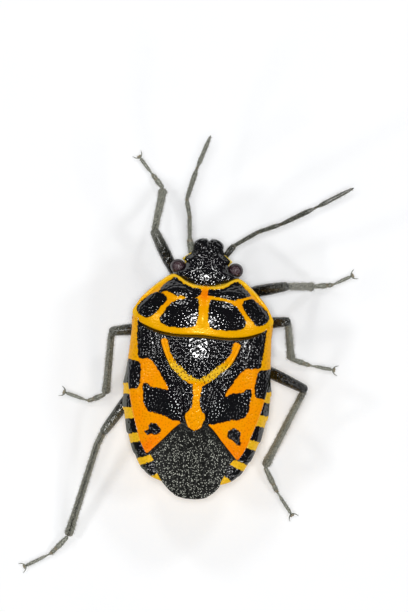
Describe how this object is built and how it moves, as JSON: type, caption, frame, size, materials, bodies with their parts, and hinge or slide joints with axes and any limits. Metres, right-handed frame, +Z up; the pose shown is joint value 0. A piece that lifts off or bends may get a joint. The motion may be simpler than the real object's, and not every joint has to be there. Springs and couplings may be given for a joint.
{
  "type": "life-size cabbage shield bug",
  "caption": "Life-size shield bug standing on its six feet with folded wings, orange and black shields, long feelers spread and a beak folded under the body.",
  "frame": {"origin": "on the floor, under the middle of the bounding box of the whole bug with its legs and feelers", "axes": "+Y forwards along the body's length axis, +X to the bug's right, +Z up from the floor"},
  "size_m": [0.0104, 0.0148, 0.0034],
  "materials": {
    "black_cuticle": "glossy, densely pitted blue-black shell",
    "orange_cuticle": "satin, densely pitted orange-yellow shell with black spots",
    "membrane": "thin dull smoky wing membrane with fine veins",
    "eye": "dark purple-brown compound eye with fine facets",
    "limb": "grey-olive shell with fine pale hairs"
  },
  "bodies": {
    "root": {"head": "black_cuticle", "scutellum": "black_cuticle", "thorax": "black_cuticle", "pronotum": "orange_cuticle", "corium_left": "orange_cuticle", "corium_right": "orange_cuticle", "abdomen": "orange_cuticle", "membrane_left": "membrane", "membrane_right": "membrane", "eye_left": "eye", "eye_right": "eye", "antenna_left": "limb", "antenna_right": "limb", "beak": "limb", "coxa_fore_left": "limb", "femur_fore_left": "limb", "tibia_fore_left": "limb", "tarsus_fore_left": "limb", "coxa_fore_right": "limb", "femur_fore_right": "limb", "tibia_fore_right": "limb", "tarsus_fore_right": "limb", "coxa_middle_left": "limb", "femur_middle_left": "limb", "tibia_middle_left": "limb", "tarsus_middle_left": "limb", "coxa_middle_right": "limb", "femur_middle_right": "limb", "tibia_middle_right": "limb", "tarsus_middle_right": "limb", "coxa_hind_left": "limb", "femur_hind_left": "limb", "tibia_hind_left": "limb", "tarsus_hind_left": "limb", "coxa_hind_right": "limb", "femur_hind_right": "limb", "tibia_hind_right": "limb", "tarsus_hind_right": "limb"}
  },
  "joints": []
}
